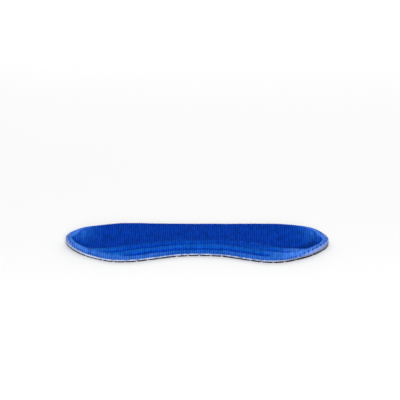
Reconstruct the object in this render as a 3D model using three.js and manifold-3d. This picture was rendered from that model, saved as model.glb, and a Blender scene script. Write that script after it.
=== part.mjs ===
// Heel grip pad: a soft cushion that sticks inside the heel of a shoe.
// Millimetres, +Z up. X runs along the pad, -Y is the notched edge, and the adhesive side lies on z = 0.
import * as THREE from "three";
import { mergeGeometries, mergeVertices } from "three/addons/utils/BufferGeometryUtils.js";
import Module from "manifold-3d";

// Driving dimensions
const padLength = 95;
const padDepth = 38;
const netThickness = 0.4;
const layerGap = 0.1; // clear space between two layers
const coverThickness = 0.7;
const coverAtRim = 0.5; // the cloth is pressed thin at the cut edge
const rimWidth = 1.5; // from the cut edge to where the cloth has its full thickness
const edgeTop = 1.5; // upper face of the cloth at the cut edge
const backSlopeWidth = 4.5;
const backSlopeShare = 0.35; // of the section's depth, at most
const backRoundness = 2.2;
const dishLean = 0.6; // under 1, so the dish is deepest in its front half
const tipLift = 0.55; // the two ends curl up a little
const liftStart = 34;

// The two ends are spoon shaped: a raised rim runs round them, wider and higher at the back
const endStart = 46; // turn where an end starts, and where it is full
const endFull = 66;
const endRim = { front: 1.7, tip: 2.3, back: 3.2 }; // width of the rim
const endWall = { front: 1.3, back: 7.5 }; // width of the wall from the rim down to the dish
const endDish = 1.6; // height of the dish inside the rim
const endTip = { start: 66, full: 78 }; // turns between which the front rim widens to the tip's
const endBack = { start: 0.35, full: 0.8 }; // shares of the depth between which front changes to back

// The net's gaps: upright lozenges in staggered rows
const gapPitch = 4.05;
const gapRowPitch = 6.25;
const gapWidth = 1.85;
const gapLength = 6.2;
const gapRows = 6;
const firstGapRow = 2.6; // behind the front of the lobes
const gapShift = gapPitch / 4; // sideways, one way in the odd rows and the other way in the even ones
const gapOverhang = 0.5; // a gap at the outline is cut if its middle is no further outside than this
const pressedGap = 0.25; // share of its width that a gap keeps where the outline cuts its middle
const pressedReach = 3.2; // distance of its middle from the outline at which a gap has its full width

// Sections from the middle of the pad to a tip, at x = half the length times sin(turn).
// front and back are the two edges, measured from the front of the lobes.
// slope is the width of the front slope. crest is the height at its top, dish the hollow behind it,
// and ridge the height at the top of the back slope.
const sections = [
  { turn: 0, front: 7.65, back: 38.0, slope: 8.4, crest: 3.3, dish: 0.45, ridge: 3.85 },
  { turn: 10, front: 6.7, back: 37.95, slope: 10.0, crest: 3.3, dish: 0.55, ridge: 3.9 },
  { turn: 20, front: 3.2, back: 37.75, slope: 11.0, crest: 3.3, dish: 0.7, ridge: 4.05 },
  { turn: 30, front: 0.3, back: 37.3, slope: 10.8, crest: 3.15, dish: 0.9, ridge: 4.25 },
  { turn: 40, front: 0.45, back: 36.35, slope: 7.8, crest: 2.95, dish: 1.1, ridge: 4.4 },
  { turn: 50, front: 3.9, back: 34.6, slope: 4.6, crest: 2.65, dish: 1.1, ridge: 4.4 },
  { turn: 60, front: 8.2, back: 32.6, slope: 4.0, crest: 2.35, dish: 0.9, ridge: 3.95 },
  { turn: 70, front: 13.3, back: 30.3, slope: 4.5, crest: 2.2, dish: 0.5, ridge: 3.2 },
  { turn: 80, front: 18.0, back: 27.0, slope: 3.5, crest: 2.2, dish: 0.0, ridge: 2.7 },
  { turn: 90, front: 22.5, back: 22.5, slope: 0.0, crest: 2.2, dish: 0.0, ridge: 2.5 },
];

// Grooves pressed along the front slope: place is a share of the slope's width, and each one is
// at its full depth as far along x as full and gone at fadedOut.
const grooves = [
  { place: 0.25, halfWidth: 0.13, depth: 0.5, full: 24, fadedOut: 29 },
  { place: 0.62, halfWidth: 0.16, depth: 0.4, full: 30, fadedOut: 36 },
];

// Surface grid: columns from tip to tip, and rows over the front slope, the dish and the back slope
const columnCount = 42;
const lastTurn = 88;
const slopeRows = 10;
const dishRows = 5;
const backRows = 5;
const outlineSteps = 600; // along each edge, for distances to the outline

const wasm = await Module();
wasm.setup();

const sectionColumns = ["front", "back", "slope", "crest", "dish", "ridge"];
const sectionCurve = new THREE.CubicInterpolant(
  sections.map((row) => row.turn),
  sections.flatMap((row) => sectionColumns.map((name) => row[name])),
  sectionColumns.length,
);
sectionCurve.settings = { endingStart: THREE.ZeroSlopeEnding, endingEnd: THREE.ZeroCurvatureEnding };

// The section at a turn, with its place along x and its depth from edge to edge
function sectionAt(turn) {
  const values = sectionCurve.evaluate(Math.abs(turn));
  const section = Object.fromEntries(sectionColumns.map((name, i) => [name, values[i]]));
  section.turn = turn;
  section.x = (padLength / 2) * Math.sin(THREE.MathUtils.degToRad(turn));
  section.depth = section.back - section.front;
  section.backSlope = Math.min(backSlopeWidth, backSlopeShare * section.depth);
  return section;
}

// Distance from the front edge at a row: 0 to 1 is the front slope, 1 to 2 the dish, 2 to 3 the back slope
function distanceAt(section, row) {
  const dishWidth = section.depth - section.slope - section.backSlope;
  if (row <= 1) return section.slope * row;
  if (row <= 2) return section.slope + dishWidth * (row - 1);
  return section.depth - section.backSlope * (3 - row);
}

// Points along the front and the back edge, from tip to tip
const outline = Array.from({ length: outlineSteps + 1 }, (_, i) => {
  const section = sectionAt((180 * i) / outlineSteps - 90);
  return [new THREE.Vector2(section.x, section.front), new THREE.Vector2(section.x, section.back)];
}).flat();

// Distance to the outline from a point at this x, measured from the front of the lobes
function edgeDistance(x, fromFront) {
  const point = new THREE.Vector2(x, fromFront);
  return Math.min(...outline.map((edge) => edge.distanceTo(point)));
}

// How far the ends curl up
function liftAt(x) {
  const share = Math.max(0, Math.abs(x) - liftStart) / (padLength / 2 - liftStart);
  return tipLift * share ** 2;
}

function grooveDepth(x, row) {
  let depth = 0;
  for (const groove of grooves) {
    const off = Math.min(1, Math.abs(row - groove.place) / groove.halfWidth);
    const reach = 1 - THREE.MathUtils.smoothstep(Math.abs(x), groove.full, groove.fadedOut);
    depth += groove.depth * reach * 0.5 * (1 + Math.cos(Math.PI * off));
  }
  return depth;
}

// Height of the cloth over the front slope, the dish and the back slope
function sideTop(section, row) {
  const { crest, dish, ridge } = section;
  if (row <= 1) {
    const rise = 1 - (1 - row) ** 2;
    return edgeTop + (crest - edgeTop) * rise - grooveDepth(section.x, row);
  }
  if (row <= 2) {
    const along = row - 1;
    const hollow = dish * Math.sin(Math.PI * along ** dishLean);
    return THREE.MathUtils.lerp(crest, ridge, THREE.MathUtils.smoothstep(along, 0, 1)) - hollow;
  }
  return edgeTop + (ridge - edgeTop) * (1 - (row - 2) ** backRoundness);
}

// Height of the cloth over the rim and the dish of an end
function endTop(section, row, toEdge) {
  const { lerp, smoothstep } = THREE.MathUtils;
  const behind = smoothstep(distanceAt(section, row) / section.depth, endBack.start, endBack.full);
  const atTip = smoothstep(Math.abs(section.turn), endTip.start, endTip.full);
  const rimEnd = lerp(lerp(endRim.front, endRim.tip, atTip), endRim.back, behind);
  const wallEnd = rimEnd + lerp(endWall.front, endWall.back, behind);
  const crest = lerp(section.crest, section.ridge, behind);
  const rim = lerp(edgeTop, crest, 1 - (1 - Math.min(1, toEdge / rimEnd)) ** 2);
  return lerp(rim, endDish, smoothstep(toEdge, rimEnd, wallEnd));
}

// Heights of the four layer faces above the pad's underside
function coverTop(section, row, toEdge) {
  const share = THREE.MathUtils.smoothstep(Math.abs(section.turn), endStart, endFull);
  return THREE.MathUtils.lerp(sideTop(section, row), endTop(section, row, toEdge), share);
}

function coverBottom(section, row, toEdge) {
  const thickness = THREE.MathUtils.lerp(coverAtRim, coverThickness, Math.min(1, toEdge / rimWidth));
  return coverTop(section, row, toEdge) - thickness;
}

const coreTop = (section, row, toEdge) => coverBottom(section, row, toEdge) - layerGap;
const coreBottom = () => netThickness + layerGap;
const netTop = () => netThickness;
const netBottom = () => 0;

// Rows of the cushion's surface, closest together on the front slope
const surfaceRows = [
  ...Array.from({ length: slopeRows }, (_, i) => i / slopeRows),
  ...Array.from({ length: dishRows }, (_, i) => 1 + i / dishRows),
  ...Array.from({ length: backRows }, (_, i) => 2 + i / backRows),
  3,
];
const edgeRows = [0, 3];

// A closed layer between two height functions, over all columns and the given rows
function layerGeometry(rows, upper, lower) {
  const columns = columnCount + 1;
  const positions = [];
  for (const height of [upper, lower]) {
    for (let i = 0; i < columns; i++) {
      const section = sectionAt(lastTurn * ((2 * i) / columnCount - 1));
      for (const row of rows) {
        const fromFront = section.front + distanceAt(section, row);
        const toEdge = edgeDistance(section.x, fromFront);
        positions.push(section.x, fromFront - padDepth / 2, height(section, row, toEdge) + liftAt(section.x));
      }
    }
  }
  const lastRow = rows.length - 1;
  const above = (i, j) => i * rows.length + j;
  const below = (i, j) => columns * rows.length + above(i, j);
  const triangles = [];
  const quad = (a, b, c, d) => triangles.push(a, b, c, a, c, d);
  for (let i = 0; i < columnCount; i++) {
    for (let j = 0; j < lastRow; j++) {
      quad(above(i, j), above(i + 1, j), above(i + 1, j + 1), above(i, j + 1));
      quad(below(i, j), below(i, j + 1), below(i + 1, j + 1), below(i + 1, j));
    }
    quad(below(i, 0), below(i + 1, 0), above(i + 1, 0), above(i, 0));
    quad(above(i, lastRow), above(i + 1, lastRow), below(i + 1, lastRow), below(i, lastRow));
  }
  for (let j = 0; j < lastRow; j++) {
    quad(above(0, j), above(0, j + 1), below(0, j + 1), below(0, j));
    quad(below(columnCount, j), below(columnCount, j + 1), above(columnCount, j + 1), above(columnCount, j));
  }
  const geometry = new THREE.BufferGeometry();
  geometry.setAttribute("position", new THREE.Float32BufferAttribute(positions, 3));
  geometry.setIndex(triangles);
  return geometry;
}

// Whether a gap with its middle at this point is cut
function meetsPad(x, fromFront) {
  const share = Math.max(0, Math.abs(x) - gapOverhang) / (padLength / 2);
  if (share >= 1) return false;
  const section = sectionAt(THREE.MathUtils.radToDeg(Math.asin(share)));
  return fromFront > section.front - gapOverhang && fromFront < section.back + gapOverhang;
}

// One upright prism for each lozenge gap of the net
function gapPrisms() {
  const lozenge = new THREE.Shape([
    new THREE.Vector2(-gapWidth / 2, 0),
    new THREE.Vector2(0, -gapLength / 2),
    new THREE.Vector2(gapWidth / 2, 0),
    new THREE.Vector2(0, gapLength / 2),
  ]);
  const reach = 2 * (tipLift + netThickness); // well past both faces of the net
  const prism = new THREE.ExtrudeGeometry(lozenge, { depth: 2 * reach, bevelEnabled: false });
  const perRow = Math.ceil(padLength / gapPitch);
  const prisms = [];
  for (let row = 0; row < gapRows; row++) {
    const fromFront = firstGapRow + row * gapRowPitch;
    const shift = row % 2 ? gapShift : -gapShift;
    for (let i = -perRow; i <= perRow; i++) {
      const x = shift + i * gapPitch;
      if (!meetsPad(x, fromFront)) continue;
      const inside = THREE.MathUtils.smoothstep(edgeDistance(x, fromFront), 0, pressedReach);
      const open = THREE.MathUtils.lerp(pressedGap, 1, inside);
      prisms.push(prism.clone().scale(open, 1, 1).translate(x, fromFront - padDepth / 2, -reach));
    }
  }
  return mergeGeometries(prisms);
}

function toSolid(geometry) {
  const bare = geometry.clone();
  bare.deleteAttribute("normal");
  bare.deleteAttribute("uv");
  const merged = mergeVertices(bare);
  const mesh = { numProp: 3, vertProperties: merged.attributes.position.array };
  return new wasm.Manifold(new wasm.Mesh({ ...mesh, triVerts: new Uint32Array(merged.index.array) }));
}

function toGeometry(solid) {
  const { vertProperties, triVerts } = solid.getMesh();
  const geometry = new THREE.BufferGeometry();
  geometry.setAttribute("position", new THREE.BufferAttribute(vertProperties, 3));
  geometry.setIndex(new THREE.BufferAttribute(triVerts, 1));
  return geometry;
}

function addPiece(group, name, geometry, finish) {
  geometry.computeVertexNormals();
  const mesh = new THREE.Mesh(geometry, new THREE.MeshStandardMaterial({ metalness: 0, ...finish }));
  mesh.name = name;
  group.add(mesh);
}

const netSheet = layerGeometry(edgeRows, netTop, netBottom);
const netGeometry = toGeometry(toSolid(netSheet).subtract(toSolid(gapPrisms())));

const pad = new THREE.Group();
addPiece(pad, "adhesive_net", netGeometry, { color: 0x14151b, roughness: 0.4 });
addPiece(pad, "foam_core", layerGeometry(surfaceRows, coreTop, coreBottom), {
  color: 0xe6e6ea,
  roughness: 0.9,
});
addPiece(pad, "fabric_cover", layerGeometry(surfaceRows, coverTop, coverBottom), {
  color: 0x0a44b4,
  roughness: 0.85,
});

export default pad;
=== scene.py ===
import math

import bmesh
import bpy
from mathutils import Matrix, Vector, kdtree, noise


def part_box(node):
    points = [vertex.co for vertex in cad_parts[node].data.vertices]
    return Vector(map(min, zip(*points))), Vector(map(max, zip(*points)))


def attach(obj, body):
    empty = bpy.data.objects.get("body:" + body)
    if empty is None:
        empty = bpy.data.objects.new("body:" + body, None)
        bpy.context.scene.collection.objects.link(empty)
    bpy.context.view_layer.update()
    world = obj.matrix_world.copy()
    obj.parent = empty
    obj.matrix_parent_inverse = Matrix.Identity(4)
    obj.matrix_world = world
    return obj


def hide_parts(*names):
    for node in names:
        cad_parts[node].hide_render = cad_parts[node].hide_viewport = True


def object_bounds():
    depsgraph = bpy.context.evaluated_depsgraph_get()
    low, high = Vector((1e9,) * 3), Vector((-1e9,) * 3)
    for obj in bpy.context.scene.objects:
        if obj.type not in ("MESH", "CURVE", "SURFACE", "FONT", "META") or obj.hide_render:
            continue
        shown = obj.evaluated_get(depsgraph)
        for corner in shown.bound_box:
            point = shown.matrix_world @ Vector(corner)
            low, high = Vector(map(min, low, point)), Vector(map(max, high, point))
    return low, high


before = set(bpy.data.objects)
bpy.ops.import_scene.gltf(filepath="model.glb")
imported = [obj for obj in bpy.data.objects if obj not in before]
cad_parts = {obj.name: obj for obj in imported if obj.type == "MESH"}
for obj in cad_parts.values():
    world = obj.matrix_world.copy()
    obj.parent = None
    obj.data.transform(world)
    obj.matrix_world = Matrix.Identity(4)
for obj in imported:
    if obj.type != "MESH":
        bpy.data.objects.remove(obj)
cadLow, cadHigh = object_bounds()
mm = 0.001
coverLow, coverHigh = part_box("fabric_cover")
print("frame loaded:", sorted(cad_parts))

# The pad's form, in mm, shared by its three layers
halfLength = (coverHigh.x - coverLow.x) / 2 / mm
frontLine = coverLow.y / mm  # y of the foremost point of the lobes

# sections from the middle to a tip, every turnStep degrees, at x = halfLength * sin(turn)
# front and back are the two edges behind the front line, slope is the width of the front slope,
# crest the height at its top, dish the hollow behind it and ridge the height before the back edge
turnStep = 10
padSections = [
    dict(front=7.65, back=38.0, slope=8.4, crest=3.3, dish=0.45, ridge=3.85),
    dict(front=6.7, back=37.95, slope=10.0, crest=3.3, dish=0.55, ridge=3.9),
    dict(front=3.2, back=37.75, slope=11.0, crest=3.3, dish=0.7, ridge=4.05),
    dict(front=0.3, back=37.3, slope=10.8, crest=3.15, dish=0.9, ridge=4.25),
    dict(front=0.45, back=36.35, slope=7.8, crest=2.95, dish=1.1, ridge=4.4),
    dict(front=3.9, back=34.6, slope=4.6, crest=2.65, dish=1.1, ridge=4.4),
    dict(front=8.2, back=32.6, slope=4.0, crest=2.35, dish=0.9, ridge=3.95),
    dict(front=13.3, back=30.3, slope=4.5, crest=2.2, dish=0.5, ridge=3.2),
    dict(front=18.0, back=27.0, slope=3.5, crest=2.2, dish=0.0, ridge=2.7),
    dict(front=22.5, back=22.5, slope=0.0, crest=2.2, dish=0.0, ridge=2.5),
]
padForm = {
    "notchShift": 1.5,  # the soft pad lies with its notch a little to the right
    "notchReach": 24.0,
    "edgeTop": 1.5,  # top of the cloth at the cut edge
    "backSlope": 4.5,
    "backShare": 0.35,
    "backRoundness": 2.2,
    "dishLean": 0.6,
    "leftLift": 0.75,  # the tips bend up a little
    "rightLift": 0.05,
    "leftSwell": 0.15,  # and the layers are thicker there
    "rightSwell": 0.45,
    "liftStart": 34.0,
    "leftBack": -0.3,  # the back ridge is lower towards the left end than towards the right one
    "rightBack": 0.1,
    "backFrom": 26.0,
    "backTo": 38.0,
    "rightRise": 0.3,  # the near rim of the right end stands a little higher
    "riseMiddle": 34.0,
    "riseReach": 5.0,
    "riseInside": (0.3, 2.5),  # where that ends, inside the rim's crest
    "evenRim": 2.5,  # along the edge the form is even, up to here
    # the two ends are spoon shaped: a raised rim of even width runs round them
    "endStart": 46,  # turn where that starts, and where it is full
    "endFull": 66,
    "rimWidth": 1.7,
    "tipRim": 2.3,  # the rim is wider round the tip
    "tipRimTurns": (66, 78),
    "backRim": 3.2,  # and wider and higher at the back
    "backRimShares": (0.35, 0.8),  # of the pad's depth, where the back's rim starts and is full
    "rimWall": 1.3,  # from the rim down to the dish
    "backWall": 7.5,
    "endDish": 1.6,  # height of the dish inside the rim
    "foldReach": (36, 41),  # |x| where the folds of the far rim start and are full
    "outlinePoints": 2400,  # along each of the two edges
}
# soft foam is never quite even: noise of these lengths and heights
padSwells = [
    dict(along=11.0, across=9.0, height=0.07, layer=3.0),
    dict(along=3.7, across=4.5, height=0.03, layer=8.0),
    dict(along=9.0, across=1.5, height=0.05, layer=21.0),  # creases along the pad
]
# grooves pressed along the front slope: x, share of the slope and depth, from end to end
padGrooves = [
    dict(halfWidth=0.155, run=[
        (-28, 0.23, 0), (-24, 0.25, 0.45), (-19.8, 0.25, 0.6), (-15.4, 0.28, 0.65), (-11, 0.265, 0.65),
        (-2.4, 0.27, 0.65), (2, 0.28, 0.62), (6.3, 0.27, 0.52), (15, 0.27, 0.5), (19.3, 0.26, 0.42),
        (23.7, 0.27, 0.65), (25, 0.26, 0.5), (27, 0.26, 0),
    ]),
    dict(halfWidth=0.18, run=[
        (-36, 0.5, 0), (-32.8, 0.57, 0.35), (-28.4, 0.61, 0.7), (-24.1, 0.665, 0.72), (-19.8, 0.69, 0.6),
        (-15.4, 0.66, 0.75), (-11.1, 0.69, 0.65), (-6.7, 0.71, 0.6), (2, 0.75, 0.5), (6.3, 0.77, 0.5),
        (10.6, 0.72, 0.45), (15, 0.67, 0.35), (19.3, 0.62, 0.2), (23.7, 0.66, 0.38), (28, 0.68, 0.65),
        (32.4, 0.58, 0.55), (36, 0.55, 0),
    ]),
]
# they wander across the slope and are not quite even in depth
grooveWander = dict(length=5.0, share=0.03, first=0.0, apart=11.0, layer=0.5)
grooveSwell = dict(length=3.0, share=0.3, first=5.0, apart=7.0, layer=2.0)
# folds along the far rim of the two ends
endFolds = [
    dict(side=1, inside=4.6, width=0.4, height=-0.3),
    dict(side=1, inside=5.3, width=0.35, height=0.2),
    dict(side=-1, inside=4.6, width=0.4, height=-0.25),
    dict(side=-1, inside=5.3, width=0.35, height=0.12),
]
# short wrinkles where the slope turns into the dish: middle, half size and height
padWrinkles = [
    dict(x=13.0, behind=14.4, along=1.2, across=0.35, height=0.2),
    dict(x=16.4, behind=14.6, along=1.3, across=0.35, height=0.3),
    dict(x=17.6, behind=13.4, along=1.0, across=0.35, height=-0.35),
    dict(x=21.6, behind=13.0, along=2.2, across=0.35, height=0.4),
    dict(x=21.0, behind=12.0, along=1.8, across=0.4, height=-0.5),
    dict(x=25.5, behind=12.0, along=1.3, across=0.35, height=0.3),
]


def lerp(a, b, t):
    return a + (b - a) * t


def smoothStep(value, low, high):
    t = min(1.0, max(0.0, (value - low) / (high - low)))
    return t * t * (3 - 2 * t)


def throughFour(a, b, c, d, t):  # smooth curve from b to c
    return b + 0.5 * t * (c - a + t * (2 * a - 5 * b + 4 * c - d + t * (3 * (b - c) + d - a)))


def turnOf(x):
    return math.degrees(math.asin(max(-1.0, min(1.0, x / halfLength))))


def plainSection(turn):
    place = min(abs(turn), 90) / turnStep
    i = min(int(place), len(padSections) - 2)
    section = {}
    for name, b in padSections[i].items():
        a = padSections[abs(i - 1)][name]  # the pad mirrors at its middle
        c = padSections[i + 1][name]
        d = padSections[i + 2][name] if i + 2 < len(padSections) else 2 * c - b
        section[name] = throughFour(a, b, c, d, place - i)
    return section


def sectionAt(turn):
    section = plainSection(turn)
    x = halfLength * math.sin(math.radians(turn))
    shift = padForm["notchShift"] * math.exp(-(x / padForm["notchReach"]) ** 2)
    section["front"] = plainSection(turnOf(x - shift))["front"]
    section["turn"] = turn
    section["x"] = x
    section["depth"] = section["back"] - section["front"]
    section["backSlope"] = min(padForm["backSlope"], padForm["backShare"] * section["depth"])
    return section


# The pad's outline as points
def makeOutline(count):
    tree = kdtree.KDTree(2 * count)
    for k in range(count):
        section = sectionAt(lerp(-90, 90, k / (count - 1)))
        tree.insert((section["x"], section["front"], 0), 2 * k)
        tree.insert((section["x"], section["back"], 0), 2 * k + 1)
    tree.balance()
    return tree


padOutline = makeOutline(padForm["outlinePoints"])


def edgeDistance(x, fromFront):  # from a point to the outline, both behind the front line
    return padOutline.find((x, fromFront, 0))[2]


# rows run 0 to 1 over the front slope, 1 to 2 over the dish, 2 to 3 over the back slope
def distanceAt(section, row):
    if row <= 1:
        return section["slope"] * row
    if row <= 2:
        return lerp(section["slope"], section["depth"] - section["backSlope"], row - 1)
    return section["depth"] - section["backSlope"] * (3 - row)


def tipShare(x):
    return (max(0.0, abs(x) - padForm["liftStart"]) / (halfLength - padForm["liftStart"])) ** 2


def liftAt(x):
    return (padForm["leftLift"] if x < 0 else padForm["rightLift"]) * tipShare(x)


def swellAt(x):
    return (padForm["leftSwell"] if x < 0 else padForm["rightSwell"]) * tipShare(x)


def grooveNoise(kind, x, k):
    place = Vector((x / kind["length"], kind["first"] + kind["apart"] * k, kind["layer"]))
    return kind["share"] * noise.noise(place)


def grooveAt(x, row):
    depth = 0.0
    for k, groove in enumerate(padGrooves):
        run = groove["run"]
        for (fromX, fromShare, fromDepth), (toX, toShare, toDepth) in zip(run, run[1:]):
            if fromX <= x < toX:
                t = smoothStep(x, fromX, toX)
                middle = lerp(fromShare, toShare, t) + grooveNoise(grooveWander, x, k)
                off = min(1.0, abs(row - middle) / groove["halfWidth"])
                deepest = lerp(fromDepth, toDepth, t) * (1 + grooveNoise(grooveSwell, x, k))
                depth += deepest * 0.5 * (1 + math.cos(math.pi * off))
    return depth


def sideTop(section, row):  # front slope, dish and back slope
    if row <= 1:
        rise = 1 - (1 - row) ** 2
        return lerp(padForm["edgeTop"], section["crest"], rise) - grooveAt(section["x"], row)
    if row <= 2:
        hollow = section["dish"] * math.sin(math.pi * (row - 1) ** padForm["dishLean"])
        return lerp(section["crest"], section["ridge"], smoothStep(row, 1, 2)) - hollow
    return lerp(section["ridge"], padForm["edgeTop"], (row - 2) ** padForm["backRoundness"])


def endShare(section):
    return smoothStep(abs(section["turn"]), padForm["endStart"], padForm["endFull"])


def rimAt(section, row):  # how far behind, from 0 to 1, and the width of the rim there
    form = padForm
    depthShare = distanceAt(section, row) / max(0.01, section["depth"])
    behind = smoothStep(depthShare, *form["backRimShares"])
    front = lerp(form["rimWidth"], form["tipRim"], smoothStep(abs(section["turn"]), *form["tipRimTurns"]))
    return behind, lerp(front, form["backRim"], behind)


def endTop(section, row, toEdge):  # rim and dish of an end
    form = padForm
    behind, width = rimAt(section, row)
    wall = lerp(form["rimWall"], form["backWall"], behind)
    crest = lerp(section["crest"], section["ridge"], behind)
    rim = lerp(form["edgeTop"], crest, 1 - (1 - min(1.0, toEdge / width)) ** 2)
    return lerp(rim, form["endDish"], smoothStep(toEdge, width, width + wall))


def foldAt(section, row, toEdge):
    reach = rimAt(section, row)[0] * smoothStep(abs(section["x"]), *padForm["foldReach"])
    height = 0.0
    for fold in endFolds:
        if fold["side"] * section["x"] > 0:
            height += fold["height"] * math.exp(-((toEdge - fold["inside"]) / fold["width"]) ** 2)
    return reach * height


def fromRimAt(section, row, toEdge):  # from the near rim's crest into the dish
    width = rimAt(section, row)[1]
    return lerp(distanceAt(section, row) - section["slope"], toEdge - width, endShare(section))


def leanAt(section, row, toEdge):  # what makes the two ends unlike
    form = padForm
    x = section["x"]
    side = form["leftBack"] if x < 0 else form["rightBack"]
    reach = smoothStep(abs(x), form["backFrom"], form["backTo"])
    behind = rimAt(section, row)[0]
    rise = form["rightRise"] * math.exp(-((x - form["riseMiddle"]) / form["riseReach"]) ** 2)
    rise *= 1 - smoothStep(fromRimAt(section, row, toEdge), *form["riseInside"])
    return (side * reach * behind + rise * (1 - behind)) * smoothStep(toEdge, 0, form["evenRim"])


def topAt(section, row, toEdge):
    top = lerp(sideTop(section, row), endTop(section, row, toEdge), endShare(section))
    return top + leanAt(section, row, toEdge) + swellAt(section["x"])


def wrinkleAt(x, y):
    height = 0.0
    for wrinkle in padWrinkles:
        u = (x - wrinkle["x"]) / wrinkle["along"]
        w = (y - frontLine - wrinkle["behind"]) / wrinkle["across"]
        height += wrinkle["height"] * math.exp(-u * u - w * w)
    return height


def unevenAt(x, y, toEdge):
    height = 0.0
    for swell in padSwells:
        place = Vector((x / swell["along"], y / swell["across"], swell["layer"]))
        height += swell["height"] * noise.noise(place)
    return smoothStep(toEdge, 0, padForm["evenRim"]) * height


def evenTurns(last, steps):
    return [lerp(-last, last, k / steps) for k in range(steps + 1)]


crestRows = [1.018, 1.036, 1.054, 1.09]  # close rows behind the crest


def padRows(frontRows, dishRows, backRows):
    rows = [k / frontRows for k in range(frontRows)]
    rows += [1 + k / dishRows for k in range(dishRows)]
    rows += [2 + k / backRows for k in range(backRows + 1)]
    return sorted(rows + crestRows)


# A flat grid for the pad's columns and rows: gives each vertex with its section and row
def padGrid(bm, turns, rows):
    bmesh.ops.create_grid(bm, x_segments=len(turns) - 1, y_segments=len(rows) - 1, size=1)
    sections = [sectionAt(turn) for turn in turns]
    placed = []
    for v in bm.verts:
        i = round((v.co.x + 1) / 2 * (len(turns) - 1))
        j = round((v.co.y + 1) / 2 * (len(rows) - 1))
        placed.append((v, sections[i], rows[j]))
    return placed


# Doubles the sheet downwards into a closed layer and returns the lower vertices
def closeBelow(bm):
    made = bmesh.ops.extrude_face_region(bm, geom=bm.faces[:])
    return [item for item in made["geom"] if isinstance(item, bmesh.types.BMVert)]


def toPiece(bm, name, material, smooth=True):
    bmesh.ops.recalc_face_normals(bm, faces=bm.faces[:])
    bmesh.ops.scale(bm, vec=(mm, mm, mm), verts=bm.verts[:])
    mesh = bpy.data.meshes.new(name)
    bm.to_mesh(mesh)
    bm.free()
    mesh.polygons.foreach_set("use_smooth", [smooth] * len(mesh.polygons))
    mesh.materials.append(material)
    piece = bpy.data.objects.new(name, mesh)
    bpy.context.scene.collection.objects.link(piece)
    print(name, "has", sum(len(p.vertices) - 2 for p in mesh.polygons), "triangles")
    return piece


# Material helpers
class Finish:
    def __init__(self, name, roughness, specular):
        self.material = bpy.data.materials.new(name)
        self.material.use_nodes = True
        self.tree = self.material.node_tree
        self.shader = self.tree.nodes["Principled BSDF"]
        self.shader.inputs["Roughness"].default_value = roughness
        self.shader.inputs["Specular IOR Level"].default_value = specular

    def node(self, kind, inputs=(), **settings):
        made = self.tree.nodes.new("ShaderNode" + kind)
        for name, value in settings.items():
            setattr(made, name, value)
        for socket, value in dict(inputs).items():
            self.plug(value, made.inputs[socket])
        return made

    def plug(self, value, socket):
        if isinstance(value, bpy.types.NodeSocket):
            self.tree.links.new(value, socket)
        else:
            socket.default_value = value

    def math(self, operation, a, b=0.0):
        return self.node("Math", {0: a, 1: b}, operation=operation).outputs[0]

    def place(self):
        return self.node("TexCoord").outputs["Object"]

    def tone(self, name):
        return self.node("Attribute", attribute_name=name).outputs["Fac"]

    def cloud(self, scale, detail=2.0, roughness=0.5, where=None):
        where = where or self.place()
        made = self.node("TexNoise", {"Vector": where, "Scale": scale, "Detail": detail,
                                      "Roughness": roughness})
        return made.outputs["Fac"]

    def spread(self, value, low, high, toLow=0.0, toHigh=1.0):
        made = self.node("MapRange", {"Value": value, "From Min": low, "From Max": high,
                                      "To Min": toLow, "To Max": toHigh})
        return made.outputs["Result"]

    def mix(self, share, a, b, blend="MIX"):
        made = self.node("Mix", {0: share, 6: a, 7: b}, data_type="RGBA", blend_type=blend)
        return made.outputs[2]

    def bump(self, height, distance, strength=1.0, onto=None):
        inputs = {"Height": height, "Distance": distance, "Strength": strength}
        if onto:
            inputs["Normal"] = onto
        return self.node("Bump", inputs).outputs["Normal"]


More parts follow.
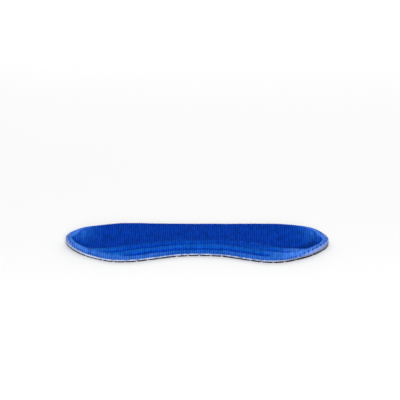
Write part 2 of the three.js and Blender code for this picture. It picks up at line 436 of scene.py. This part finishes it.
# The knit face cloth
knitCover = {
    "thickness": 0.7,
    "rimThickness": 0.55,
    "rimWidth": 1.5,
    "rollWidth": 0.55,  # the cloth rolls over towards the cut edge
    "rollDrop": 0.2,
    "ribPitch": 0.77,
    "ribSteps": 5,  # columns in one rib
    "ribHeight": 0.15,
    "ribMiddle": 0.6,  # share of the height that lies below the cloth's mean face
    "ribAtRim": 0.75,
    "ribRim": 1.2,
    "ribRoundness": 2.2,
    "evenUpTo": 46.2,  # |x| beyond which the columns follow the turn of the tip
    "tipColumns": 10,
    "lastTurn": 89.6,
    "rows": (34, 14, 12),
    "foldRows": [1.68, 1.75, 1.82, 1.89, 1.96],  # close rows for the folds behind the tips
    "edgeRows": [0.004, 0.012],  # and to round the cut edge
    "courseLength": 0.62,  # one row of knit loops
    "loopShade": 0.28,
    "strandScale": 9000,
    "heatherScale": 420,
    "heatherShades": (0.82, 1.15),
    "yarnScale": 1400.0,
    "yarnStretch": (1.0, 0.18, 0.18),
    "yarnShades": (0.8, 1.22),
    # the valleys between the ribs and the hollows between the knit loops are painted darker than the
    # crests: painted shade
    "crestColour": (0.006, 0.115, 0.58, 1),
    "valleyShadeColour": (0.003, 0.045, 0.26, 1),
    # painted shade: the dish, the upper part of the slope and the grooves are painted darker, where they
    # lie in shade
    "paintedShadeColour": (0.12, 0.36, 0.74, 1),
    "ribInShade": 0.85,  # how far a rib goes with it
    "dishShade": dict(front=(0.9, 1.15), back=(2.1, 2.7), rim=(-0.2, 0.5)),
    "slopeShade": dict(start=0.5, blend=0.25, strength=0.75, ends=(22, 33)),
    "rightShade": dict(start=0.38, strength=0.9, reach=(4, 10), ends=(14, 20)),  # right of the notch
    "middleShade": dict(strength=0.18, ends=(12, 26)),
    "grooveShade": dict(depth=0.45, strength=0.9),
    "fullCrease": 0.4,
    "creaseHighlight": 0.6,
    # on the far wall of the ends the painted shade is cleared and painted sheen added
    "farWall": dict(turns=(42, 66), rows=(1.15, 1.9), clear=0.95, sheenAndFuzz=0.2),  # it faces the light
    # fuzz with painted sheen, where the surface faces the light, on the slopes towards the tips and on
    # the rim round them
    "sheenAndFuzzColour": (0.072, 0.22, 0.76, 1),
    "ribSheenAndFuzz": (0.6, 0.9),  # in the valleys and on the ribs
    "leftSheenAndFuzz": dict(reach=(31, 45), strength=0.97, upTo=(0.75, 0.75), edge=0.42),
    "rightSheenAndFuzz": dict(reach=(21, 42), strength=1.0, upTo=(0.5, 0.75), edge=0.3),
    "sheenAndFuzzRise": (28, 36),  # |x| where it starts to reach further up, and where it does so fully
    "sheenAndFuzzBlend": 0.3,
    "farRing": 4.8,  # how far in it reaches at the back of the tips
    "ringFade": (0.8, 1.05),
    "edgeSheenAndFuzz": dict(least=0.1, reach=(6, 16), inside=(1.2, 2.8)),  # along the whole edge
    # the dark cut loops along the cloth's edge, with painted shadow where the cut edge lies in shade
    "cutColour": (0.0015, 0.012, 0.07, 1),
    "cutAndShadowStrength": 0.85,
    "cutRow": (0.1, 0.6),  # the row of cut loops, from the edge
    # round the tips a pale hem lies outside the row of cut loops
    "rightHem": dict(start=34.0, full=44.0, width=0.38, farWidth=2.2, strength=0.72, growth=1.0),
    "leftHem": dict(start=42.5, full=47.0, width=0.6, farWidth=2.1, strength=0.7, growth=2.5),
    "farHem": 0.85,  # its strength behind the tips
    "hemColour": (0.29, 0.35, 0.66, 1),
    "hemFade": (0.6, 1.4),
    "hemPatches": (0.6, 1.0),
    "leastHem": 0.05,
    "stitchInside": 0.25,  # from the hem to the middle of the row of loops
    "stitchWidth": 0.32,
    "everyOther": (34.0, 37.0),  # x where the dark loops turn from each rib to every other one
    "tipLoop": 2.9,  # from one dark loop to the next round the tips
    "tipLoopFrom": 44.6,
    # painted shadow: the dish is painted darker along a line just inside the near rim of the right end,
    # where the rim shades it
    "rimShadow": dict(reach=(27.0, 33.0), ends=(41.0, 45.5), rim=(-0.3, 0.6), inside=3.2, width=1.8,
                 strength=0.7),
    "loopRelief": 0.05,
    "strandRelief": 0.03,
}


def ribAt(x):  # 0 in the valley, 1 on the rib
    share = (x / knitCover["ribPitch"]) % 1.0
    return 1 - abs(2 * share - 1) ** knitCover["ribRoundness"]


def coverTurns():
    step = knitCover["ribPitch"] / knitCover["ribSteps"]
    half = int(knitCover["evenUpTo"] / step)
    turns = [turnOf(k * step) for k in range(-half, half + 1)]
    tip = [lerp(turns[-1], knitCover["lastTurn"], k / knitCover["tipColumns"])
           for k in range(1, knitCover["tipColumns"] + 1)]
    return [-turn for turn in reversed(tip)] + turns + tip


def coverRows():
    edge = knitCover["edgeRows"]
    rows = padRows(*knitCover["rows"]) + knitCover["foldRows"]
    return sorted(rows + edge + [3 - 2 * share for share in edge])


def clothThickness(toEdge):
    share = min(1.0, toEdge / knitCover["rimWidth"])
    return lerp(knitCover["rimThickness"], knitCover["thickness"], share)


def farWallAt(section, row):  # 1 on the dish's far wall at an end
    wall = knitCover["farWall"]
    return smoothStep(abs(section["turn"]), *wall["turns"]) * smoothStep(row, *wall["rows"])


def paintedShadeAt(section, row, toEdge):  # 1 where the cloth is painted darker: painted shade in the dish, the grooves and the upper slope
    form = knitCover
    x = section["x"]
    whole, atRight, inDish = form["slopeShade"], form["rightShade"], form["dishShade"]
    right = smoothStep(x, *atRight["reach"]) * (1 - smoothStep(x, *atRight["ends"]))
    lowest = lerp(whole["start"], atRight["start"], right)
    slope = lerp(whole["strength"], atRight["strength"], right)
    slope *= smoothStep(row, lowest, lowest + whole["blend"]) * (1 - smoothStep(abs(x), *whole["ends"]))
    dish = smoothStep(row, *inDish["front"]) * (1 - smoothStep(row, *inDish["back"]))
    inRim = smoothStep(toEdge - rimAt(section, row)[1], *inDish["rim"])
    dish = lerp(dish, inRim, endShare(section)) * (1 - form["farWall"]["clear"] * farWallAt(section, row))
    groove = grooveAt(x, row) / form["grooveShade"]["depth"] if row <= 1 else 0.0
    middle = form["middleShade"]["strength"] * (1 - smoothStep(abs(x), *form["middleShade"]["ends"]))
    return min(1.0, max(dish, slope, form["grooveShade"]["strength"] * groove, middle))


def sheenAndFuzzAt(section, row, toEdge):  # 1 where the cloth is painted paler: fuzz, with painted sheen where it faces the light
    form = knitCover
    x = section["x"]
    sheenAndFuzz = form["leftSheenAndFuzz"] if x < 0 else form["rightSheenAndFuzz"]
    reach = sheenAndFuzz["strength"] * smoothStep(abs(x), *sheenAndFuzz["reach"])
    end = endShare(section)
    upTo = lerp(*sheenAndFuzz["upTo"], smoothStep(abs(x), *form["sheenAndFuzzRise"]))
    slope = (1 - smoothStep(row, upTo, upTo + form["sheenAndFuzzBlend"])) * (1 - end)
    behind, width = rimAt(section, row)
    ring = lerp(width, form["farRing"], behind)
    rim = 1 - smoothStep(toEdge / ring, *form["ringFade"])
    edge = lerp(form["edgeSheenAndFuzz"]["least"], sheenAndFuzz["edge"], smoothStep(abs(x), *form["edgeSheenAndFuzz"]["reach"]))
    edge *= 1 - smoothStep(toEdge, *form["edgeSheenAndFuzz"]["inside"])
    wall = form["farWall"]["sheenAndFuzz"] * end * farWallAt(section, row)
    return max(reach * max(slope, rim), wall, edge)


def rimShadowAt(section, row, toEdge):  # 1 on the painted shadow just inside the near rim of the right end
    rimShadow = knitCover["rimShadow"]
    fromRim = fromRimAt(section, row, toEdge)
    across = math.exp(-((fromRim - rimShadow["inside"]) / rimShadow["width"]) ** 2)
    across *= smoothStep(fromRim, *rimShadow["rim"])
    reach = smoothStep(section["x"], *rimShadow["reach"]) * (1 - smoothStep(section["x"], *rimShadow["ends"]))
    return rimShadow["strength"] * reach * across * (1 - rimAt(section, row)[0])


def wave(place, length):  # 1 at each whole length, 0 between them
    return 0.5 + 0.5 * math.cos(2 * math.pi * place / length)


def cutLoopAt(x, y):  # 1 at a cut loop: between the ribs, and along the rows round the tips
    form = knitCover
    betweenRibs = wave(x, form["ribPitch"])
    betweenRibs = lerp(betweenRibs, wave(x, 2 * form["ribPitch"]), smoothStep(x, *form["everyOther"]))
    roundTip = smoothStep(abs(x), form["tipLoopFrom"], form["evenUpTo"])
    return lerp(betweenRibs, wave(y, form["tipLoop"]), roundTip)


def edgeTones(section, row, toEdge, y):  # the pale hem, and the dark loops with painted shadow along the cut edge and inside the right end's rim
    form = knitCover
    x = section["x"]
    hem = form["leftHem"] if x < 0 else form["rightHem"]
    share = smoothStep(abs(x), hem["start"], hem["full"])
    behind = rimAt(section, row)[0]
    grown = share ** hem["growth"]
    width = max(form["leastHem"], grown * lerp(hem["width"], hem["farWidth"], behind))
    strength = hem["strength"] * grown * lerp(1, form["farHem"], behind)
    pale = strength * (1 - smoothStep(toEdge / width, *form["hemFade"]))
    cutRow = 1 - smoothStep(toEdge, *form["cutRow"])
    hemRow = math.exp(-((toEdge - width - form["stitchInside"]) / form["stitchWidth"]) ** 2)
    loops = lerp(cutRow, hemRow, min(1.0, 2 * share)) * cutLoopAt(x, y)
    return pale, max(loops, rimShadowAt(section, row, toEdge))


def makeCover():
    form = knitCover
    bm = bmesh.new()
    ribTone = bm.verts.layers.float.new("rib")
    paintedShadeTone = bm.verts.layers.float.new("paintedShade")
    loopsAndShadowTone = bm.verts.layers.float.new("rim")
    sheenAndFuzzTone = bm.verts.layers.float.new("pale")
    hemTone = bm.verts.layers.float.new("hem")
    depthHere = bm.verts.layers.float.new("clothDepth")
    for v, section, row in padGrid(bm, coverTurns(), coverRows()):
        distance = distanceAt(section, row)
        toEdge = edgeDistance(section["x"], section["front"] + distance)
        x, y = section["x"], frontLine + section["front"] + distance
        rib = ribAt(x)
        height = topAt(section, row, toEdge) + liftAt(x) + unevenAt(x, y, toEdge)
        relief = form["ribHeight"] * (rib - form["ribMiddle"])
        relief *= lerp(form["ribAtRim"], 1, smoothStep(toEdge, 0, form["ribRim"]))
        wrinkle, fold = wrinkleAt(x, y), foldAt(section, row, toEdge)
        relief += smoothStep(toEdge, 0, padForm["evenRim"]) * wrinkle + fold
        relief -= form["rollDrop"] * max(0.0, 1 - toEdge / form["rollWidth"]) ** 2
        v.co = (x, y, height + relief)
        v[depthHere] = clothThickness(toEdge) + relief  # the underside is smooth
        # sunken wrinkles and folds get painted shade, raised ones a painted highlight
        crease = (wrinkle + fold) / form["fullCrease"]
        v[ribTone] = rib
        v[paintedShadeTone] = min(1.0, paintedShadeAt(section, row, toEdge) + max(0.0, -crease))
        v[sheenAndFuzzTone] = min(1.0, sheenAndFuzzAt(section, row, toEdge) + form["creaseHighlight"] * max(0.0, crease))
        v[hemTone], v[loopsAndShadowTone] = edgeTones(section, row, toEdge, y)
    for v in closeBelow(bm):
        v.co.z -= v[depthHere]
    return toPiece(bm, "knit_cover", knitFinish())


def knitFinish():
    form = knitCover
    finish = Finish("blue_rib_knit", 0.9, 0.0)
    rib = finish.tone("rib")
    paintedShade = finish.tone("paintedShade")
    rim = finish.tone("rim")
    pale = finish.tone("pale")
    place = finish.node("SeparateXYZ", {0: finish.place()})
    # each rib is a chain of V loops: their arms slant from the rib's middle to its sides
    across = finish.math("DIVIDE", place.outputs["X"], form["ribPitch"] * mm)
    side = finish.math("ABSOLUTE", finish.math("SUBTRACT", finish.math("FRACT", across), 0.5))
    along = finish.math("DIVIDE", place.outputs["Y"], form["courseLength"] * mm)
    loops = finish.math("SINE", finish.math("MULTIPLY", finish.math("ADD", along, side), 2 * math.pi))
    strands = finish.cloud(form["strandScale"], 3.0)
    heather = finish.cloud(form["heatherScale"], 4.0, 0.65)
    # painted shade: darker in the rib valleys and between the loops
    colour = finish.mix(rib, form["valleyShadeColour"], form["crestColour"])
    colour = finish.mix(finish.spread(loops, -1, 1, 0.0, form["loopShade"]), colour, form["valleyShadeColour"])
    # painted sheen and fuzz make the cloth paler, more on the ribs
    sheenAndFuzz = finish.math("MULTIPLY", pale, finish.spread(rib, 0, 1, *form["ribSheenAndFuzz"]))
    colour = finish.mix(sheenAndFuzz, colour, form["sheenAndFuzzColour"])
    # the ribs stand out of the painted shade
    pressed = finish.math("MULTIPLY", paintedShade, finish.spread(rib, 0, 1, 1.0, form["ribInShade"]))
    colour = finish.mix(pressed, colour, form["paintedShadeColour"], "MULTIPLY")
    # uneven yarn, drawn out along the ribs
    stretch = {0: finish.place(), 1: form["yarnStretch"]}
    drawnOut = finish.node("VectorMath", stretch, operation="MULTIPLY").outputs[0]
    yarn = finish.cloud(form["yarnScale"], 1.0, 0.5, drawnOut)
    shade = finish.math("MULTIPLY", finish.spread(heather, 0.3, 0.7, *form["heatherShades"]),
                        finish.spread(yarn, 0.3, 0.7, *form["yarnShades"]))
    grey = finish.node("CombineColor", {0: shade, 1: shade, 2: shade}).outputs[0]
    colour = finish.mix(1.0, colour, grey, "MULTIPLY")
    patches = finish.spread(heather, 0.3, 0.6, *form["hemPatches"])
    hem = finish.math("MULTIPLY", finish.tone("hem"), patches)
    colour = finish.mix(hem, colour, form["hemColour"])
    # dark cut loops, with painted shadow along the cut edge and inside the right end's rim
    colour = finish.mix(finish.spread(rim, 0, 1, 0, form["cutAndShadowStrength"]), colour, form["cutColour"])
    finish.plug(colour, finish.shader.inputs["Base Color"])
    finish.shader.inputs["Sheen Weight"].default_value = 0.01
    finish.shader.inputs["Sheen Roughness"].default_value = 0.5
    finish.shader.inputs["Sheen Tint"].default_value = (0.35, 0.55, 1.0, 1)
    normal = finish.bump(loops, form["loopRelief"] * mm, 0.7)
    normal = finish.bump(strands, form["strandRelief"] * mm, 0.5, normal)
    finish.plug(normal, finish.shader.inputs["Normal"])
    return finish.material


# The foam core: its cut edge is the white line round the pad
foamCore = {
    "turns": 240,
    "lastTurn": 89.4,
    "rows": (26, 16, 10),
    "clearance": 0.08,  # under the cloth, away from the rim
    "clearFrom": 1.2,
    "seam": 0.02,  # to the cloth at the rim, and to the net
    "tipSeam": 0.06,  # and to the cloth at the very tips
    "tipFrom": 46.4,
    "bulge": 0.04,
    "roughness": 0.05,
    "roughScale": (1.9, 1.9, 3.0),
    "edgeRows": 3,  # on the cut edge, between its upper and its lower line
    "cellScale": 5200.0,
    "cellRelief": 0.06,
    "patchScale": 700,
    "patchShade": 0.3,
    "colour": (0.82, 0.82, 0.85, 1),
    "shadeColour": (0.62, 0.63, 0.68, 1),
    "cutColour": (0.36, 0.41, 0.56, 1),  # the cut edge
    "cutFade": 0.3,
    "lintColour": (0.1, 0.15, 0.3, 1),  # blue lint on it
    "lintScale": 900,
    "dimFrom": 24.0,  # the cut edge is greyer towards the right tip
    "dimTo": 36.0,
    "dimColour": (0.13, 0.14, 0.22, 1),
    "dimStrength": 0.6,
    "brightFrom": 26.0,  # and whiter towards the left one
    "brightTo": 38.0,
    "brightColour": (0.6, 0.68, 0.88, 1),
    "brightStrength": 0.35,
}


def makeCore():
    form = foamCore
    bm = bmesh.new()
    turns = evenTurns(form["lastTurn"], form["turns"])
    drop = bm.verts.layers.float.new("drop")
    cutTone = bm.verts.layers.float.new("cut")
    dimTone = bm.verts.layers.float.new("dim")
    brightTone = bm.verts.layers.float.new("bright")
    for v, section, row in padGrid(bm, turns, padRows(*form["rows"])):
        distance = distanceAt(section, row)
        toEdge = edgeDistance(section["x"], section["front"] + distance)
        x, y = section["x"], frontLine + section["front"] + distance
        seam = lerp(form["seam"], form["tipSeam"], smoothStep(abs(x), form["tipFrom"], halfLength))
        gap = lerp(seam, form["clearance"], smoothStep(toEdge, 0, form["clearFrom"]))
        under = topAt(section, row, toEdge) - clothThickness(toEdge) - gap
        height = under + liftAt(x) + unevenAt(x, y, toEdge)
        v.co = (x, y, height)
        v[drop] = height - (netTopAt(x) + form["seam"] + liftAt(x))
        v[cutTone] = 1 - smoothStep(toEdge, 0, form["cutFade"])
        v[dimTone] = smoothStep(x, form["dimFrom"], form["dimTo"])
        v[brightTone] = smoothStep(-x, form["brightFrom"], form["brightTo"])
    lower = closeBelow(bm)
    for v in lower:
        v.co.z -= v[drop]
    # the cut edge swells a little between the two pressed layers, and is not quite even
    lowerSet = set(lower)
    walls = [e for e in bm.edges if (e.verts[0] in lowerSet) != (e.verts[1] in lowerSet)]
    made = bmesh.ops.subdivide_edges(bm, edges=walls, cuts=form["edgeRows"], use_grid_fill=True)
    for v in made["geom_inner"]:
        if not isinstance(v, bmesh.types.BMVert):
            continue
        outward = Vector((v.co.x / halfLength ** 2, v.co.y / frontLine ** 2, 0)).normalized()
        rough = noise.noise(v.co * Vector(form["roughScale"]))
        v.co += outward * (form["bulge"] + form["roughness"] * rough)
        v[cutTone] = 1.0
    return toPiece(bm, "foam_core_pad", foamFinish())


def foamFinish():
    form = foamCore
    finish = Finish("white_foam", 0.95, 0.2)
    cells = finish.node("TexVoronoi", {"Vector": finish.place(), "Scale": form["cellScale"]})
    cells = cells.outputs["Distance"]
    patches = finish.cloud(form["patchScale"], 3.0)
    # the foam is painted darker towards the middles of its cells: painted shade in the pores
    colour = finish.mix(finish.spread(cells, 0.05, 0.55), form["shadeColour"], form["colour"])
    shaded = finish.spread(patches, 0.35, 0.7, 0.0, form["patchShade"])
    colour = finish.mix(shaded, colour, form["shadeColour"])
    lint = finish.spread(finish.cloud(form["lintScale"], 4.0, 0.7), 0.4, 0.6)
    cut = finish.mix(lint, form["cutColour"], form["lintColour"])
    dim = finish.math("MULTIPLY", finish.tone("dim"), form["dimStrength"])
    cut = finish.mix(dim, cut, form["dimColour"])
    bright = finish.math("MULTIPLY", finish.tone("bright"), form["brightStrength"])
    cut = finish.mix(bright, cut, form["brightColour"])
    colour = finish.mix(finish.tone("cut"), colour, cut)
    finish.plug(colour, finish.shader.inputs["Base Color"])
    finish.plug(finish.bump(cells, form["cellRelief"] * mm, 0.6), finish.shader.inputs["Normal"])
    return finish.material


# The adhesive net: a brick lattice of cells, each with a lozenge gap, trimmed to the outline
adhesiveNet = {
    "pitch": 4.05,
    "rowPitch": 6.25,
    "rows": 6,
    "firstRow": 2.6,
    "gapWidth": 1.85,
    "gapLength": 6.2,
    "gapBelly": 0.06,  # how far a gap's sides bow outwards
    "pressedGap": 0.17,  # share of its width that a gap keeps where the outline cuts its middle
    "pressedReach": 3.2,
    "rightGap": 0.06,  # and at the right end, which is pressed more
    "rightFrom": 26.0,
    "rightTo": 31.0,
    "thickness": 0.45,
    "leftThickness": 0.32,  # at the two ends
    "rightThickness": 0.58,
    "endStart": 22.0,
    "endFull": 40.0,
    "edgeThickness": 0.33,  # a strand is thinner at the gaps
    "overhang": 0.5,
    "segments": 16,  # points round a gap
    "rings": (0.0, 0.35, 1.0),  # from the gap's edge to the middle of the strands
    "weld": 0.02,  # vertices this close are one
    "trimWeld": 0.002,
    "trimTurn": 89.4,
    "trimSteps": 180,
    "trimHeight": 2.0,
    "edgeFade": (0.05, 0.3),  # the cut edge has no patches
    "edgeStrength": 0.8,
    "patchScale": 170,
    "patchRelief": 0.08,
    "patchRoughness": (0.28, 0.55),
    "grainScale": 6000,
    "grainRelief": 0.02,
    "grainStrength": 0.45,
    "colour": (0.007, 0.0062, 0.011, 1),
    "patchColour": (0.06, 0.052, 0.068, 1),
}


def netTopAt(x):
    form = adhesiveNet
    end = form["leftThickness"] if x < 0 else form["rightThickness"]
    return lerp(form["thickness"], end, smoothStep(abs(x), form["endStart"], form["endFull"]))


def quarterOf(share):  # signs of x and y on the way round a cell, and how far up or down it is
    turn = share * 4
    quarter, t = int(turn) % 4, turn % 1.0
    right, up = [(1, 1), (-1, 1), (-1, -1), (1, -1)][quarter]
    return right, up, t if quarter in (0, 2) else 1 - t


def lozengePoint(share, openShare):  # once round a gap, from its right corner
    right, up, t = quarterOf(share)
    belly = adhesiveNet["gapBelly"] * math.sin(math.pi * t)
    return Vector((right * openShare * (adhesiveNet["gapWidth"] / 2 * (1 - t) + belly),
                   up * adhesiveNet["gapLength"] / 2 * t, 0))


def cellPoint(share):  # once round a cell's brick, corner by corner, in step with the gap
    width, length = adhesiveNet["pitch"] / 2, adhesiveNet["rowPitch"] / 2
    right, up, t = quarterOf(share)
    if t <= 0.5:
        return Vector((right * width, up * length * 2 * t, 0))
    return Vector((right * width * 2 * (1 - t), up * length, 0))


def addCell(bm, middle, cut):
    form = adhesiveNet
    strand = bm.verts.layers.float["strand"]
    around = bm.verts.layers.int["around"]
    toEdge = edgeDistance(middle.x, middle.y - frontLine)
    atRight = smoothStep(middle.x, form["rightFrom"], form["rightTo"])
    pressed = lerp(form["pressedGap"], form["rightGap"], atRight)
    openShare = lerp(pressed, 1, smoothStep(toEdge, 0, form["pressedReach"]))
    gapRing = bmesh.ops.create_circle(bm, segments=form["segments"], radius=1)["verts"]
    for k, v in enumerate(gapRing):
        v[around] = k
    ring = gapRing
    for part in form["rings"]:
        if part > 0:
            edges = {e for v in ring for e in v.link_edges if e.other_vert(v) in ring}
            made = bmesh.ops.extrude_edge_only(bm, edges=list(edges))["geom"]
            ring = [item for item in made if isinstance(item, bmesh.types.BMVert)]
        for v in ring:
            share = v[around] / form["segments"]
            v.co = middle + lozengePoint(share, openShare).lerp(cellPoint(share), part)
            v.co.z = form["thickness"]
            v[strand] = part
    if not cut:
        bmesh.ops.contextual_create(bm, geom=gapRing)


def meetsPad(x, fromFront):
    overhang = adhesiveNet["overhang"]
    near = max(0.0, abs(x) - overhang)
    if near >= halfLength:
        return False
    section = sectionAt(turnOf(math.copysign(near, x)))
    return section["front"] - overhang < fromFront < section["back"] + overhang


def outlineBlock():
    bm = bmesh.new()
    turns = evenTurns(adhesiveNet["trimTurn"], adhesiveNet["trimSteps"])
    for v, section, row in padGrid(bm, turns, [0, 3]):
        v.co = (section["x"], frontLine + section["front"] + distanceAt(section, row),
                adhesiveNet["trimHeight"])
    for v in closeBelow(bm):
        v.co.z = -adhesiveNet["trimHeight"]
    return toPiece(bm, "net_outline", bpy.data.materials.new("net_outline"))


def makeNet():
    form = adhesiveNet
    bm = bmesh.new()
    bm.verts.layers.float.new("strand")
    bm.verts.layers.int.new("around")
    perRow = math.ceil(halfLength / form["pitch"]) + 1
    for row in range(-1, form["rows"] + 1):
        fromFront = form["firstRow"] + row * form["rowPitch"]
        shift = form["pitch"] / 4 if row % 2 else -form["pitch"] / 4
        for k in range(-perRow, perRow + 1):
            middle = Vector((shift + k * form["pitch"], frontLine + fromFront, 0))
            inRange = 0 <= row < form["rows"]
            addCell(bm, middle, inRange and meetsPad(middle.x, fromFront))
    bmesh.ops.remove_doubles(bm, verts=bm.verts[:], dist=form["weld"])
    strand = bm.verts.layers.float["strand"]
    for v in closeBelow(bm):
        dome = min(1.0, v[strand] / form["rings"][1])
        v.co.z -= lerp(form["edgeThickness"], form["thickness"], dome)
    lattice = toPiece(bm, "net_lattice", netFinish())
    block = outlineBlock()
    trim = lattice.modifiers.new("trim", "BOOLEAN")
    trim.operation = "INTERSECT"
    trim.solver = "EXACT"
    trim.object = block
    graph = bpy.context.evaluated_depsgraph_get()
    mesh = bpy.data.meshes.new_from_object(lattice.evaluated_get(graph))
    for spare in (lattice, block):
        bpy.data.objects.remove(spare)
    bm = bmesh.new()
    bm.from_mesh(mesh)
    bpy.data.meshes.remove(mesh)
    bmesh.ops.scale(bm, vec=(1 / mm, 1 / mm, 1 / mm), verts=bm.verts[:])
    bmesh.ops.remove_doubles(bm, verts=bm.verts[:], dist=form["trimWeld"])
    edgeTone = bm.verts.layers.float.new("edge")
    for v in bm.verts:
        toEdge = edgeDistance(v.co.x, v.co.y - frontLine)
        v[edgeTone] = 1 - smoothStep(toEdge, *form["edgeFade"])
        v.co.z = v.co.z * netTopAt(v.co.x) / form["thickness"] + liftAt(v.co.x)
    for face in bm.faces:
        face.material_index = 0
    return toPiece(bm, "adhesive_net_back", bpy.data.materials["black_adhesive"], smooth=False)


def netFinish():
    form = adhesiveNet
    finish = Finish("black_adhesive", 0.4, 0.25)
    patches = finish.cloud(form["patchScale"], 6.0, 0.65)
    grain = finish.cloud(form["grainScale"], 3.0)
    share = finish.spread(patches, 0.44, 0.6)
    colour = finish.mix(share, form["colour"], form["patchColour"])
    speckle = finish.spread(grain, 0.4, 0.62, 0.0, form["grainStrength"])
    colour = finish.mix(speckle, colour, form["colour"])
    edge = finish.math("MULTIPLY", finish.tone("edge"), form["edgeStrength"])
    colour = finish.mix(edge, colour, form["colour"])
    finish.plug(colour, finish.shader.inputs["Base Color"])
    roughness = finish.spread(patches, 0.35, 0.7, *form["patchRoughness"])
    finish.plug(roughness, finish.shader.inputs["Roughness"])
    normal = finish.bump(patches, form["patchRelief"] * mm, 0.5)
    normal = finish.bump(grain, form["grainRelief"] * mm, 0.5, normal)
    finish.plug(normal, finish.shader.inputs["Normal"])
    return finish.material


# Camera: where the photograph's frame sees the pad
photoView = {
    "frame": 400,  # pixels
    "padMiddle": (197.1, 243.6),  # pixel of the floor point under the tips' line
    "tipLine": 22.5,  # mm behind the front line
    "tipSpan": 262.5,  # pixels from tip to tip
    "azimuth": 0.8,
    "elevation": 17.6,
    "distance": 1.2,
    "sensor": 36.0,
    "nearest": 0.05,
}


def directionOf(azimuth, elevation):  # from the pad to the camera or to a light
    a, e = math.radians(azimuth), math.radians(elevation)
    return Vector((math.sin(a) * math.cos(e), -math.cos(a) * math.cos(e), math.sin(e)))


def makeCamera():
    view = photoView
    back = directionOf(view["azimuth"], view["elevation"])
    right = Vector((-back.y, back.x, 0)).normalized()
    up = back.cross(right)
    perPixel = 2 * halfLength * mm / view["tipSpan"]
    middle = Vector((0, (frontLine + view["tipLine"]) * mm, 0))
    eye = middle + back * view["distance"]
    half = view["frame"] / 2
    aim = middle + right * (half - view["padMiddle"][0]) * perPixel
    aim += up * (view["padMiddle"][1] - half) * perPixel
    data = bpy.data.cameras.new("photo_camera")
    data.sensor_width = view["sensor"]
    data.lens = view["sensor"] * view["distance"] / (perPixel * view["frame"])
    data.clip_start = view["nearest"]
    camera = bpy.data.objects.new("photo_camera", data)
    camera.location = eye
    camera.rotation_euler = (aim - eye).to_track_quat("-Z", "Y").to_euler()
    bpy.context.scene.collection.objects.link(camera)
    bpy.context.scene.camera = camera


# Studio: a pale floor, soft light from the front and a weak one from behind
studio = {
    "floorSize": 6.0,
    "floorColour": (0.91, 0.91, 0.91, 1),
    "floorShade": (0.8, 0.8, 0.82, 1),
    "floorShadeShare": 0.03,
    "floorScale": 3.0,
    "worldLight": 0.4,
    "lights": [
        dict(name="front", azimuth=4, elevation=19, distance=1.0, width=0.35, height=0.35, power=12.5),
        dict(name="behind", azimuth=180, elevation=22, distance=1.0, width=1.8, height=0.75, power=10),
    ],
}


def makeStudio():
    bm = bmesh.new()
    bmesh.ops.create_grid(bm, x_segments=1, y_segments=1, size=studio["floorSize"] / 2 / mm)
    floor = toPiece(bm, "studio_floor", floorFinish(), smooth=False)
    floor.location.z = cadLow.z
    for light in studio["lights"]:
        data = bpy.data.lights.new(light["name"], "AREA")
        data.shape = "ELLIPSE"
        data.size = light["width"]
        data.size_y = light["height"]
        data.energy = light["power"]
        out = directionOf(light["azimuth"], light["elevation"])
        lamp = bpy.data.objects.new(light["name"], data)
        lamp.location = out * light["distance"]
        lamp.rotation_euler = out.to_track_quat("Z", "Y").to_euler()
        bpy.context.scene.collection.objects.link(lamp)
    world = bpy.data.worlds.new("studio")
    world.use_nodes = True
    world.node_tree.nodes["Background"].inputs["Strength"].default_value = studio["worldLight"]
    world.node_tree.nodes["Background"].inputs["Color"].default_value = (1, 1, 1, 1)
    bpy.context.scene.world = world
    bpy.context.scene.view_settings.view_transform = "Standard"


def floorFinish():
    finish = Finish("pale_floor", 0.9, 0.1)
    clouds = finish.cloud(studio["floorScale"])
    share = finish.spread(clouds, 0.3, 0.7, 0, studio["floorShadeShare"])
    colour = finish.mix(share, studio["floorColour"], studio["floorShade"])
    finish.plug(colour, finish.shader.inputs["Base Color"])
    return finish.material


makeCamera()
makeStudio()
print("camera and studio ready")

cover = makeCover()
core = makeCore()
net = makeNet()
for piece, node, slot in ((cover, "fabric_cover", "knit"), (core, "foam_core", "foam"),
                          (net, "adhesive_net", "adhesive")):
    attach(piece, "root")
    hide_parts(node)
